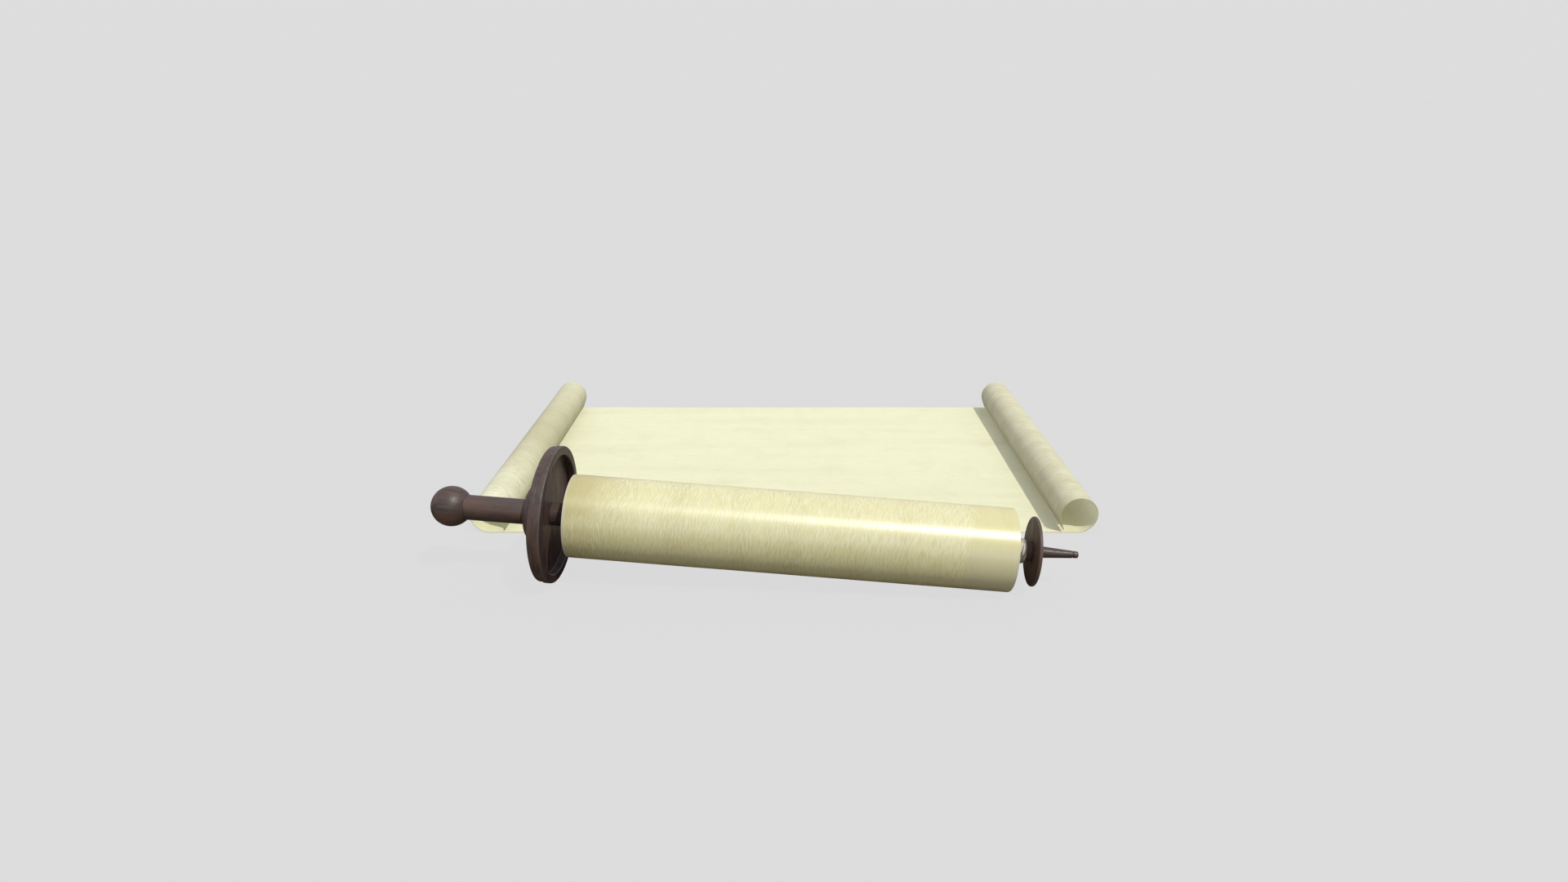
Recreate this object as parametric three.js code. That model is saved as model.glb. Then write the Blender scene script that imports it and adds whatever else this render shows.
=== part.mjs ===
// Open scroll: a parchment sheet lying flat with both ends curled up into tubes,
// and in front of it a turned wooden roller that carries the wound parchment.
// Millimetres, +Z up. X runs along the opened parchment, Y is its height.
// The origin is the middle of the whole object's footprint, on the surface it lies on.

import * as THREE from 'three';

// Parchment, one height for the opened sheet and for the wound roll
const PARCHMENT_HEIGHT = 450;
const SHEET_THICKNESS = 0.6;
const CURL_CENTRE_SPACING = 676.8;
const CURL_RADIUS = 21.7;
const CURL_OPENING = 70;
const CURL_MOUTH_GAP = 3.1;

// Wound roll
const ROLL_RADIUS = 42.8;
const ROLL_LEFT_ROUND = 1.5;
const ROLL_RIGHT_ROUND = 3;
const TURN_RIDGE_PITCH = 7.4;
const TURN_RIDGE_STEP = 0.9;
const SLEEVE_WALL = 1.5;
const SLEEVE_LENGTH = 12.4;

// Rod through the roll, turned in one with its tenon and the tapered spindle
const ROD_LEFT_RADIUS = 11.8;
const ROD_RIGHT_RADIUS = 10.3;
const TENON_RADIUS = 7;
const TENON_IN_HANDLE = 22;
const TENON_CHAMFER = 1;
const SPINDLE_ROOT_RADIUS = 6.3;
const SPINDLE_TIP_RADIUS = 3.3;
const SPINDLE_LENGTH = 43.6;
const SPINDLE_RING_SETBACK = 4.4;
const SPINDLE_RING_WIDTH = 1.2;
const SPINDLE_RING_DEPTH = 0.45;

// Large disc: a lipped inner face, two rim beads, a domed back and a cushion hub
const LARGE_DISC_RADIUS = 70.3;
const LARGE_DISC_STANDOFF = 12;
const LIP_WIDTH = 8.8;
const LIP_ROUND = 1;
const RECESS_DEPTH = 8;
const RECESS_CORNER = 1.6;
const INNER_BEAD_WIDTH = 7;
const OUTER_BEAD_WIDTH = 3.8;
const OUTER_BEAD_DROP = 1.1;
const BEAD_GROOVE_WIDTH = 0.8;
const BEAD_GROOVE_DEPTH = 1.5;
const BACK_DEPTH = 11.4;
const HUB_RADIUS = 29.6;
const HUB_BEAD_WIDTH = 2.6;
const HUB_GROOVE = 1.1;
const HUB_CUSHION_DEPTH = 7.4;
const HUB_FACE_MARGIN = 1.7;

// Grip and ball, turned as one
const GRIP_RADIUS = 12.9;
const GRIP_LENGTH = 62.5;
const GRIP_SHOULDER = 0.8;
const BALL_OVERHANG = 7.9;

// Small disc on the spindle side
const SMALL_DISC_RADIUS = 35.4;
const SMALL_DISC_THICKNESS = 3.6;
const SMALL_DISC_STANDOFF = 6.6;

// How the roller lies beside the sheet
const ROLLER_TO_SHEET_GAP = 29;
const ROLLER_ASIDE = 6.3;
const ROLLER_YAW = 3.11;

// Gap between pieces that touch
const FIT = 0.3;

// Fineness of the round stretches
const BROAD_SIDES = 56;
const SLIM_SIDES = 36;
const CURL_STEPS = 56;
const BALL_STEPS = 14;
const ROUND_STEPS = 4;

const radians = THREE.MathUtils.degToRad;
const point = (x, y) => new THREE.Vector2(x, y);

// Places along the roller, measured from the middle of the wound roll
const rollEnd = PARCHMENT_HEIGHT / 2;
const sleeveEnd = rollEnd + SLEEVE_LENGTH;
const smallDiscFace = sleeveEnd + SMALL_DISC_STANDOFF;
const smallDiscBack = smallDiscFace + SMALL_DISC_THICKNESS;
const spindleTip = smallDiscBack + SPINDLE_LENGTH;
const largeDiscFace = -rollEnd - LARGE_DISC_STANDOFF;
const recessFloor = largeDiscFace - RECESS_DEPTH;
const innerBeadBack = largeDiscFace - INNER_BEAD_WIDTH;
const outerBeadFace = innerBeadBack - BEAD_GROOVE_WIDTH;
const outerBeadBack = outerBeadFace - OUTER_BEAD_WIDTH;
const hubFoot = outerBeadBack - BACK_DEPTH;
const hubBeadEnd = hubFoot - HUB_BEAD_WIDTH;
const hubEnd = hubBeadEnd - HUB_CUSHION_DEPTH;
const handleFace = hubEnd - FIT;
const tenonEnd = handleFace - TENON_IN_HANDLE;
const rodLeftEnd = recessFloor + FIT;
const rodRightEnd = smallDiscFace - FIT;

const tenonBore = TENON_RADIUS + FIT;
const spindleBore = SPINDLE_ROOT_RADIUS + FIT;

const sheetFinish = new THREE.MeshStandardMaterial({
  color: '#f0efd2', roughness: 0.75, metalness: 0,
});
const rollFinish = new THREE.MeshStandardMaterial({
  color: '#ebe4b0', roughness: 0.45, metalness: 0,
});
const woodFinish = new THREE.MeshStandardMaterial({
  color: '#4b3d36', roughness: 0.4, metalness: 0,
});

// Points of an arc, angles in degrees
function arc(centre, radius, from, to, steps) {
  return Array.from({ length: steps + 1 }, (_, i) => {
    const angle = radians(from + (to - from) * i / steps);
    return point(centre.x + radius * Math.cos(angle), centre.y + radius * Math.sin(angle));
  });
}

// A turned piece. The profile holds (radius, place along the axis), rising on its outside,
// and the axis of the finished piece is X.
function turned(profile, sides) {
  const geometry = new THREE.LatheGeometry(profile, sides);
  geometry.rotateZ(-Math.PI / 2);
  return geometry;
}

// A turned piece with a hole, its profile closed on its first point
function turnedRing(profile, sides) {
  return turned([...profile, profile[0].clone()], sides);
}

function named(name, geometry, finish) {
  const mesh = new THREE.Mesh(geometry, finish);
  mesh.name = name;
  return mesh;
}

// One face of the sheet's right half: flat, round the curl, then straight to the free edge,
// which stops the mouth's gap above the sheet
function halfFace(radius) {
  const centre = point(CURL_CENTRE_SPACING / 2, CURL_RADIUS);
  const bend = arc(centre, radius, -90, 270 - CURL_OPENING, CURL_STEPS);
  const fall = radians(CURL_OPENING);
  const outside = CURL_RADIUS * (1 - Math.cos(fall));
  const straight = (outside - SHEET_THICKNESS - CURL_MOUTH_GAP) / Math.sin(fall);
  const heading = point(Math.cos(fall), -Math.sin(fall)).multiplyScalar(straight);
  return [...bend, bend[CURL_STEPS].clone().add(heading)];
}

function parchmentSheet() {
  const mirrored = (points) => points.map((p) => point(-p.x, p.y)).reverse();
  const underside = halfFace(CURL_RADIUS);
  const upper = halfFace(CURL_RADIUS - SHEET_THICKNESS);
  const outline = [
    ...mirrored(underside), ...underside,
    ...[...mirrored(upper), ...upper].reverse(),
  ];
  const geometry = new THREE.ExtrudeGeometry(new THREE.Shape(outline), {
    depth: PARCHMENT_HEIGHT, steps: 1, bevelEnabled: false,
  });
  geometry.rotateX(Math.PI / 2);
  geometry.translate(0, PARCHMENT_HEIGHT, 0);
  return named('parchment_sheet', geometry, sheetFinish);
}

// Radius of the gently tapered rod at a place along its axis
function rodRadius(place) {
  const along = (place - rodLeftEnd) / (rodRightEnd - rodLeftEnd);
  return ROD_LEFT_RADIUS + (ROD_RIGHT_RADIUS - ROD_LEFT_RADIUS) * along;
}

// Edges of the wound turns on an end face, every other one standing back a little
function turnRidges(from, to, face, inward) {
  const count = Math.max(1, Math.floor(Math.abs(to - from) / TURN_RIDGE_PITCH));
  const pitch = (to - from) / count;
  return Array.from({ length: count }, (_, i) => {
    const place = face + (i % 2) * TURN_RIDGE_STEP * inward;
    return [point(from + pitch * (i + 0.1), place), point(from + pitch * (i + 0.9), place)];
  }).flat();
}

function parchmentRoll() {
  const leftShoulder = ROLL_RADIUS - ROLL_LEFT_ROUND;
  const rightShoulder = ROLL_RADIUS - ROLL_RIGHT_ROUND;
  const boreAt = (place) => rodRadius(place) + FIT;
  const sleeve = boreAt(rollEnd) + SLEEVE_WALL;
  const innerTurns = boreAt(-rollEnd) + SLEEVE_WALL;
  const leftEdge = point(leftShoulder, -rollEnd + ROLL_LEFT_ROUND);
  const rightEdge = point(rightShoulder, rollEnd - ROLL_RIGHT_ROUND);
  const profile = [
    point(boreAt(-rollEnd), -rollEnd),
    ...turnRidges(innerTurns, leftShoulder, -rollEnd, 1),
    ...arc(leftEdge, ROLL_LEFT_ROUND, -90, 0, ROUND_STEPS),
    ...arc(rightEdge, ROLL_RIGHT_ROUND, 0, 90, ROUND_STEPS),
    ...turnRidges(rightShoulder, sleeve, rollEnd, -1),
    point(sleeve, rollEnd),
    point(sleeve, sleeveEnd),
    point(boreAt(sleeveEnd), sleeveEnd),
  ];
  return named('parchment_roll', turnedRing(profile, BROAD_SIDES), rollFinish);
}

function coreRod() {
  const taper = (place) => THREE.MathUtils.mapLinear(
    place, smallDiscBack, spindleTip, SPINDLE_ROOT_RADIUS, SPINDLE_TIP_RADIUS,
  );
  const ringFace = spindleTip - SPINDLE_RING_SETBACK;
  const ringFoot = ringFace - SPINDLE_RING_WIDTH;
  const ringMiddle = (ringFace + ringFoot) / 2;
  const tipRound = SPINDLE_TIP_RADIUS / 2;
  const tipFlat = SPINDLE_TIP_RADIUS - tipRound;
  const profile = [
    point(0, tenonEnd),
    point(TENON_RADIUS - TENON_CHAMFER, tenonEnd),
    point(TENON_RADIUS, tenonEnd + TENON_CHAMFER),
    point(TENON_RADIUS, rodLeftEnd),
    point(ROD_LEFT_RADIUS, rodLeftEnd),
    point(ROD_RIGHT_RADIUS, rodRightEnd),
    point(SPINDLE_ROOT_RADIUS, rodRightEnd),
    point(SPINDLE_ROOT_RADIUS, smallDiscBack),
    point(taper(ringFoot), ringFoot),
    point(taper(ringMiddle) - SPINDLE_RING_DEPTH, ringMiddle),
    point(taper(ringFace), ringFace),
    ...arc(point(tipFlat, spindleTip - tipRound), tipRound, 0, 90, ROUND_STEPS),
    point(0, spindleTip),
  ];
  return named('core_rod', turned(profile, SLIM_SIDES), woodFinish);
}

function largeDisc() {
  const outerBead = LARGE_DISC_RADIUS - OUTER_BEAD_DROP;
  const recess = LARGE_DISC_RADIUS - LIP_WIDTH;
  const hubFace = GRIP_RADIUS + HUB_FACE_MARGIN;
  const cushionReach = HUB_RADIUS - HUB_GROOVE - hubFace;
  const lipEdge = point(LARGE_DISC_RADIUS - LIP_ROUND, largeDiscFace - LIP_ROUND);

  const cushion = arc(point(0, 0), 1, -90, 0, ROUND_STEPS).map((p) => point(
    hubFace + cushionReach * p.x, hubBeadEnd + HUB_CUSHION_DEPTH * p.y,
  ));
  // The back falls away from the outer bead, slowly at first, and runs out at the hub
  const back = Array.from({ length: ROUND_STEPS + 2 }, (_, i) => {
    const along = 1 - i / (ROUND_STEPS + 1);
    const inward = (outerBead - HUB_RADIUS) * along ** 1.5;
    return point(outerBead - inward, outerBeadBack - BACK_DEPTH * along);
  });
  const profile = [
    point(tenonBore, hubEnd),
    ...cushion,
    point(HUB_RADIUS, hubBeadEnd),
    ...back,
    point(outerBead, outerBeadFace),
    point(LARGE_DISC_RADIUS - BEAD_GROOVE_DEPTH, (outerBeadFace + innerBeadBack) / 2),
    point(LARGE_DISC_RADIUS, innerBeadBack),
    ...arc(lipEdge, LIP_ROUND, 0, 90, ROUND_STEPS - 2),
    point(recess, largeDiscFace),
    point(recess, recessFloor + RECESS_CORNER),
    point(recess - RECESS_CORNER, recessFloor),
    point(tenonBore, recessFloor),
  ];
  return named('large_disc', turnedRing(profile, BROAD_SIDES), woodFinish);
}

function ballHandle() {
  const ballRadius = GRIP_RADIUS + BALL_OVERHANG;
  const sunk = Math.sqrt(ballRadius ** 2 - GRIP_RADIUS ** 2);
  const ballCentre = handleFace - GRIP_LENGTH - sunk;
  const gripAngle = THREE.MathUtils.radToDeg(Math.asin(sunk / ballRadius));
  const profile = [
    ...arc(point(0, ballCentre), ballRadius, -90, gripAngle, BALL_STEPS),
    point(GRIP_RADIUS, handleFace - GRIP_SHOULDER),
    point(GRIP_RADIUS - GRIP_SHOULDER, handleFace),
    point(tenonBore, handleFace),
    point(tenonBore, tenonEnd - FIT),
    point(0, tenonEnd - FIT),
  ];
  profile[0].x = 0;
  return named('ball_handle', turned(profile, SLIM_SIDES), woodFinish);
}

function smallDisc() {
  const rim = SMALL_DISC_THICKNESS / 2;
  const rimCentre = point(SMALL_DISC_RADIUS - rim, smallDiscFace + rim);
  const profile = [
    point(spindleBore, smallDiscFace),
    ...arc(rimCentre, rim, -90, 90, ROUND_STEPS + 1),
    point(spindleBore, smallDiscBack),
  ];
  return named('small_disc', turnedRing(profile, BROAD_SIDES), woodFinish);
}

// The roller rests on the large disc's rim and on the far end of the wound roll,
// a gap ahead of the sheet's front edge, with its spindle turned a little away from it
function roller() {
  const rimReach = LIP_ROUND - largeDiscFace;
  const rollReach = rollEnd - ROLL_RIGHT_ROUND;
  const tilt = Math.atan2(LARGE_DISC_RADIUS - ROLL_RADIUS, rimReach + rollReach);
  const yaw = radians(ROLLER_YAW);
  const discBehind = LARGE_DISC_RADIUS * Math.cos(yaw) + rimReach * Math.sin(yaw);

  const axle = new THREE.Group();
  axle.add(parchmentRoll(), coreRod(), largeDisc(), ballHandle(), smallDisc());
  axle.rotation.y = tilt;
  axle.position.z = LARGE_DISC_RADIUS * Math.cos(tilt) - rimReach * Math.sin(tilt);

  const lying = new THREE.Group();
  lying.add(axle);
  lying.rotation.z = -yaw;
  lying.position.set(ROLLER_ASIDE, -ROLLER_TO_SHEET_GAP - discBehind, 0);
  return lying;
}

const pieces = new THREE.Group();
pieces.add(parchmentSheet(), roller());

// Centres the footprint on the origin
const extent = new THREE.Box3().setFromObject(pieces, true);
const middle = extent.getCenter(new THREE.Vector3());
pieces.position.set(-middle.x, -middle.y, -extent.min.z);

const group = new THREE.Group();
group.add(pieces);

export default group;
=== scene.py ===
"""Open scroll: a parchment sheet with curled ends, and a turned roller of wound parchment.

Lengths are metres, in the frame of the CAD model, which gives every place. The roller's own space
has X along its axis, from the ball grip to the spindle, and Z up.
"""

import math

import bmesh
import bpy
from bpy.props import FloatProperty, FloatVectorProperty, PointerProperty
from mathutils import Matrix, Vector, noise


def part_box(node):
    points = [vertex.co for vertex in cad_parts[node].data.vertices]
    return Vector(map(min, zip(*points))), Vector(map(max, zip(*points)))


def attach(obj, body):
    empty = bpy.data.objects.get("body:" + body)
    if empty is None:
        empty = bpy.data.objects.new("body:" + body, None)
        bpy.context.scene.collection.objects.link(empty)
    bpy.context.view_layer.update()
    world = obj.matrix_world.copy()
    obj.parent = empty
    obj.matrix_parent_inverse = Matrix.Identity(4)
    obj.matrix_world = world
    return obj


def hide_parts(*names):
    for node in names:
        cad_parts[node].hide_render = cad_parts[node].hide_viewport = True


bl_info = {
    "name": "Open scroll",
    "version": (1, 0, 0),
    "blender": (4, 5, 0),
    "location": "3D View > Sidebar > Scroll",
    "description": "Makes an opened parchment and its wooden roller round the CAD frame",
    "category": "Add Mesh",
}

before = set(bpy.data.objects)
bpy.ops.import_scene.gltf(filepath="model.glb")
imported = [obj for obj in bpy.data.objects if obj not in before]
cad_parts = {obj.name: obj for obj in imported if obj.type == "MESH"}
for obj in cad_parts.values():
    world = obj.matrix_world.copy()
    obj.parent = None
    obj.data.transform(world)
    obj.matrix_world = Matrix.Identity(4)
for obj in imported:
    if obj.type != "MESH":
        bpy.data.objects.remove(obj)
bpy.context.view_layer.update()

BODY = "root"
BLACK = (0.0, 0.0, 0.0)
# Corners nearer than this become one
WELD = 1e-6
# An edge that turns more than this stays crisp
SHARP = math.radians(40)
# A face whose normal lies this nearly along the axis is an end face
END_ON = 0.9
# Cuts along the sheet's half width, round a curl, across the sheet and round a wound turn
FLAT_CUTS, CURL_CUTS, SHEET_CUTS, TURN_CUTS = 32, 88, 72, 96
# Cuts along the outermost turn of the winding, and how many turns have them
OUTER_CUTS, OUTER_TURNS = 40, 1.03


# Places read from the frame


def corners(cad_node):
    """Every corner of a CAD node once, in the row frame."""
    found = {tuple(round(c, 6) for c in v.co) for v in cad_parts[cad_node].data.vertices}
    return [Vector(c) for c in sorted(found)]


def middle(points):
    """The mean of some points."""
    return sum(points, Vector()) / len(points)


def roller_place():
    """The matrix from the roller's own space to the row frame, with its middle in the winding."""
    grip, rod = (middle(corners(cad_node)) for cad_node in ("ball_handle", "core_rod"))
    along = (rod - grip).normalized()
    across = Vector((0, 0, 1)).cross(along).normalized()
    place = Matrix((along, across, along.cross(across))).transposed().to_4x4()
    place.translation = middle(corners("parchment_roll"))
    return place


ROLLER = roller_place()


def span(cad_node):
    """(lowest place, highest place, radius) of a turned CAD node along the roller's axis."""
    inside = ROLLER.inverted()
    local = [inside @ corner for corner in corners(cad_node)]
    places = [p.x for p in local]
    return min(places), max(places), max(math.hypot(p.y, p.z) for p in local)


# Settings


def length(name, description, default):
    """A length that a user may change."""
    return FloatProperty(
        name=name, description=description, default=default, min=0.0, precision=5, unit="LENGTH"
    )


def amount(name, description, default):
    """A plain number that a user may change."""
    return FloatProperty(name=name, description=description, default=default)


def angle(name, description, degrees):
    """An angle that a user may change."""
    return FloatProperty(
        name=name, description=description, default=math.radians(degrees), subtype="ANGLE"
    )


def tint(name, description, red, green, blue):
    """A colour that a user may change, from its 0 to 255 values on a screen."""
    shades = (c / 255 for c in (red, green, blue))
    linear = [c / 12.92 if c <= 0.04045 else ((c + 0.055) / 1.055) ** 2.4 for c in shades]
    return FloatVectorProperty(
        name=name, description=description, default=linear, size=3, min=0, max=1, subtype="COLOR"
    )


class SCROLL_PG_skin(bpy.types.PropertyGroup):
    """The parchment, opened and wound."""

    thickness: length("Skin thickness", "Thickness of the opened skin", 0.0006)
    opening: angle("Curl opening", "What a curled end leaves open of a full turn", 70)
    mouth: length("Mouth", "Gap between a curl's free edge and the sheet", 0.0031)
    cockle: length("Cockling", "Height of the soft waves in the flat skin", 0.0007)
    deckle: length("Edge waver", "How far the cut edges stray from a straight line", 0.0004)
    pitch: length("Turn pitch", "Distance from one wound turn to the next", 0.00066)
    wound: length("Wound thickness", "Thickness of the wound skin", 0.0005)
    left_round: length("Grip end rounding", "How far the outer turns draw back there", 0.0015)
    right_round: length("Spindle end rounding", "How far the outer turns draw back there", 0.003)
    sleeve: length("Sleeve", "How far the innermost turns stand out at the spindle end", 0.0124)
    sleeve_wall: length("Sleeve wall", "Thickness of the turns that stand out", 0.0018)
    sleeve_step: length("Sleeve step", "How much shorter each turn there is than the last", 0.0009)
    stagger: length("Stagger", "How unevenly the ends of the turns line up", 0.0011)
    lift: length("Lift", "How far the outer turn's free corner stands off", 0.0008)
    lifted: amount("Lifted part", "Share of a turn over which that corner stands off", 0.07)
    slack: length("Slack", "How far the outermost turn lies off the next, on average", 0.00012)
    free_edge: angle("Free edge", "Where the outer turn ends, from the top towards the back", 112)
    settled: length("Settled part", "Width beside a curl where the cockling dies out", 0.06)
    out_of_round: amount("Out of round", "How far a curl strays from a circle, as a share", 0.012)
    face: tint("Face", "Scraped inner side of the skin", 243, 241, 200)
    back: tint("Back", "Outer side of the skin", 247, 246, 213)
    shade: tint("Shade", "Darker fibres of the plain skin", 186, 180, 142)
    burnished: tint("Burnished", "Outer turn of the winding", 241, 231, 167)
    ochre: tint("Ochre", "Darker strokes and patches of the winding", 204, 191, 124)
    bleached: tint("Bleached", "Palest strokes of the winding", 251, 246, 207)
    # Also the colour of the painted sheen on the winding's end rims, a highlight and not rubbing, and of
    # the lower part of the spindle end's smooth zone.
    rim: tint("Rim", "Rubbed rims of the winding", 224, 222, 208)
    # Also the colour of the painted shadow along the left curl's free edge.
    stain_and_gap_shadow: tint("Stain", "Dark streaks where the skin meets the rod", 96, 80, 62)
    edge: tint("Cut edge", "Edges of the skin", 226, 218, 178)
    glow: amount("Glow", "Share of the light that spreads inside the skin", 0.3)
    # Colour of the painted glow, an emission inside the curls.
    curl_glow: tint("Curl glow", "Light that shows inside a curl, through its skin", 104, 104, 108)
    passed_on: amount("Passed on", "Share of its light that the skin casts on other surfaces", 0.35)


class SCROLL_PG_turning(bpy.types.PropertyGroup):
    """The turned wood."""

    lip_width: length("Lip width", "Width of the large disc's flat lip", 0.0088)
    recess: length("Recess", "Depth of the large disc's inner face behind its lip", 0.008)
    inner_bead: length("Inner bead", "Width of the rim's bead beside the lip", 0.007)
    outer_bead: length("Outer bead", "Width of the rim's second bead", 0.0038)
    bead_drop: length("Bead drop", "How much smaller the second bead is", 0.0011)
    bead_groove: length("Bead groove", "Width of the groove between the beads", 0.0008)
    groove_depth: length("Groove depth", "Depth of the turned grooves", 0.0015)
    back_depth: length("Back depth", "How far the large disc's back falls to its hub", 0.0114)
    hub_radius: length("Hub radius", "Radius of the hub's bead", 0.0296)
    hub_bead: length("Hub bead", "Width of the hub's bead", 0.0026)
    hub_step: length("Hub step", "Step from the hub's bead to its cushion", 0.0011)
    hub_margin: length("Hub margin", "How much wider the hub's face is than the grip", 0.0017)
    grip_radius: length("Grip radius", "Radius of the grip", 0.0129)
    tenon: length("Tenon", "Radius of the tenon in the disc and the grip", 0.007)
    tenon_depth: length("Tenon depth", "How far the tenon reaches into the grip", 0.022)
    rod_right: length("Rod radius", "Radius of the rod at the spindle end", 0.0103)
    spindle_root: length("Spindle root", "Radius of the spindle at the small disc", 0.0063)
    spindle_tip: length("Spindle tip", "Radius of the spindle at its end", 0.0033)
    spindle_ring: length("Spindle ring", "From the spindle's tip to the middle of its ring", 0.0054)
    grip_ring: length("Grip ring", "From the grip's end to the middle of its ring", 0.0029)
    ring_depth: length("Ring depth", "Depth of the rings in the spindle and the grip", 0.0006)
    fit: length("Fit", "Gap between pieces that touch", 0.0003)
    dark: tint("Dark wood", "Darkest figure of the wood", 56, 43, 40)
    mid: tint("Wood", "Main colour of the wood", 82, 68, 61)
    flat: tint("Flat wood", "Unpolished face of the large disc", 80, 65, 70)
    # Painted light: lighter than the wood so the small disc's end faces, which stand in shade, read
    # brighter; not an unpolished finish.
    thin: tint("Thin wood", "Unpolished face of the small disc", 100, 83, 84)
    warm: tint("Warm wood", "Reddish figure of the wood", 106, 74, 60)
    worn: tint("Worn wood", "Proud edges, polished by handling", 126, 110, 104)


class SCROLL_PG_stage(bpy.types.PropertyGroup):
    """The camera, the light and the floor."""

    lens: amount("Lens", "Focal length in millimetres on a 36 mm wide sensor", 21.094)
    back: length("Camera distance", "From the sheet's front edge to the camera", 0.9542)
    height: length("Camera height", "Above the floor", 0.4737)
    pitch: angle("Camera pitch", "How far the camera looks down", 20.701)
    sun_turn: angle("Sun turn", "How far the light comes round from the front to the right", 43.8)
    sun_rise: angle("Sun height", "How high the light stands", 55.3)
    sun_power: amount("Sun power", "Strength of the light", 1.93)
    sun_width: angle("Sun width", "Width of the light, which softens the shadows", 1.0)
    sun_tint: tint("Sun tint", "Colour of the light", 255, 254, 242)
    sky: amount("Sky", "Strength of the even light from all round", 0.69)
    sky_tint: tint("Sky tint", "Colour of the even light", 242, 243, 255)
    backdrop: tint("Backdrop", "Colour of the floor and what lies behind it", 221, 221, 221)
    bounce: tint("Bounce", "The floor as the object sees it", 104, 97, 84)
    shadow: amount("Shadow", "Strength of the object's shadow on the floor", 0.05)


# Mesh helpers


def softened(outline, steps=4):
    """An outline of (place along the axis, radius) points. A third number rounds that corner."""
    points = []
    for i, (place, radius, *cut) in enumerate(outline):
        here = Vector((place, radius))
        if not cut:
            points.append(here)
            continue
        ends = [Vector(outline[k % len(outline)][:2]) - here for k in (i - 1, i + 1)]
        first, last = (here + end * min(cut[0] / end.length, 0.5) for end in ends)
        for k in range(steps + 1):
            share = k / steps
            points.append(first.lerp(here, share).lerp(here.lerp(last, share), share))
    return points


def spun(outline, steps=128):
    """A turned form about the roller's axis. Its outline starts and ends on the axis, or closes."""
    form = bmesh.new()
    line = [form.verts.new((place, 0.0, radius)) for place, radius in outline]
    edges = [form.edges.new(ends) for ends in zip(line, line[1:])]
    bmesh.ops.spin(
        form,
        geom=line + edges,
        cent=(0, 0, 0),
        axis=(1, 0, 0),
        dvec=(0, 0, 0),
        angle=math.tau,
        steps=steps,
        use_merge=True,
        use_duplicate=False,
    )
    bmesh.ops.remove_doubles(form, verts=form.verts, dist=WELD)
    bmesh.ops.dissolve_degenerate(form, dist=WELD, edges=form.edges)
    bmesh.ops.recalc_face_normals(form, faces=form.faces)
    return form


def mark_turns(form, name, sign):
    """Writes on each corner how sharply its edges turn, out (1) or in (-1), a little blurred."""
    layer = form.verts.layers.float.new(name)
    full = math.radians(20)
    for vert in form.verts:
        turn = max(sign * edge.calc_face_angle_signed(0.0) for edge in vert.link_edges)
        vert[layer] = min(max(turn / full, 0.0), 1.0)
    blurred = {
        vert: sum(edge.other_vert(vert)[layer] for edge in vert.link_edges) / len(vert.link_edges)
        for vert in form.verts
    }
    for vert, value in blurred.items():
        vert[layer] = (vert[layer] + value) / 2


def placed(name, form, cad_node, materials):
    """Makes a form the piece that stands for a CAD node."""
    for face in form.faces:
        face.smooth = True
    for edge in form.edges:
        edge.smooth = len(edge.link_faces) == 2 and edge.calc_face_angle() < SHARP
    mesh = bpy.data.meshes.new(name)
    form.to_mesh(mesh)
    form.free()
    for material in materials:
        mesh.materials.append(material)
    piece = bpy.data.objects.new(name, mesh)
    bpy.context.scene.collection.objects.link(piece)
    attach(piece, BODY)
    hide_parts(cad_node)
    return piece


def turned_piece(name, outline, cad_node, finishes, shaded_span=(0.0, 0.0)):
    """A turned piece of dark wood in its place. A second finish goes on its end faces.

    Painted shade darkens it between two places along the axis.
    """
    form = spun(outline)
    mark_turns(form, "proud", 1)
    mark_turns(form, "hollow", -1)
    painted_shade = form.verts.layers.float.new("painted_shade")
    for vert in form.verts:
        vert[painted_shade] = float(shaded_span[0] < vert.co.x < shaded_span[1])
    if len(finishes) > 1:
        for face in form.faces:
            face.material_index = int(abs(face.normal.x) > END_ON)
    form.transform(ROLLER)
    return placed(name, form, cad_node, finishes)


def skinned(piece, thickness):
    """Gives a skin its thickness: its second finish goes on the inner side, its third on edges."""
    solid = piece.modifiers.new("thickness", "SOLIDIFY")
    solid.thickness = thickness
    solid.offset = -1
    solid.material_offset = 1
    solid.material_offset_rim = 2


# Shader helpers


def is_socket(value):
    """Whether a value is another node's output, which is linked, or plain."""
    return isinstance(value, bpy.types.NodeSocket)


def node(tree, kind, inputs=None, **fields):
    """A new shader node with its fields set and its inputs given values or linked."""
    made = tree.nodes.new("ShaderNode" + kind)
    for field, value in fields.items():
        setattr(made, field, value)
    for socket, value in (inputs or {}).items():
        if is_socket(value):
            tree.links.new(value, made.inputs[socket])
        else:
            made.inputs[socket].default_value = value
    return made


def maths(tree, operation, first, second=0.0, third=0.0):
    """The result of a sum on one to three numbers."""
    inputs = {0: first, 1: second, 2: third}
    return node(tree, "Math", inputs, operation=operation).outputs[0]


def times(tree, first, second):
    """Two numbers multiplied."""
    return maths(tree, "MULTIPLY", first, second)


def larger(tree, first, second):
    """The larger of two numbers."""
    return maths(tree, "MAXIMUM", first, second)


def between(tree, share, first, second):
    """Two numbers mixed by a share."""
    return node(tree, "Mix", {0: share, 2: first, 3: second}).outputs[0]


def remap(tree, value, low, high, to_low=0.0, to_high=1.0):
    """A value's range low to high carried to another, and held there."""
    inputs = {"Value": value, "From Min": low, "From Max": high, "To Min": to_low}
    return node(tree, "MapRange", {**inputs, "To Max": to_high}).outputs[0]


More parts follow.
